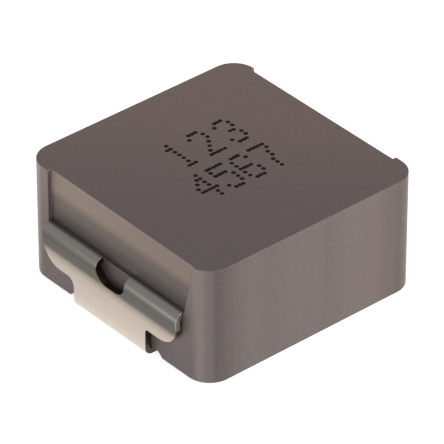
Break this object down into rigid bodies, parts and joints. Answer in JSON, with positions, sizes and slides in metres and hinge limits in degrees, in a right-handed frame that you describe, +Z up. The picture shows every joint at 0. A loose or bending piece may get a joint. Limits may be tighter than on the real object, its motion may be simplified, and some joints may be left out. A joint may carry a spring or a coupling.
{
  "type": "shielded surface-mount power inductor",
  "caption": "Square moulded power inductor: a coil pressed inside a block of bonded iron powder, with folded metal terminals on opposite sides that end in solder feet.",
  "frame": {"origin": "middle of the part's footprint, in the plane of the two solder feet", "axes": "+X from one terminal to the other, +Y along the terminals, +Z up from the solder feet to the flat top"},
  "size_m": [0.0134, 0.0126, 0.0061],
  "materials": {
    "powder_composite": "satin",
    "enamelled_copper": "gloss",
    "tinned_copper": "satin"
  },
  "bodies": {
    "root": {"moulded_body": "powder_composite", "coil_winding": "enamelled_copper", "terminal_left": "tinned_copper", "terminal_right": "tinned_copper"}
  },
  "joints": []
}
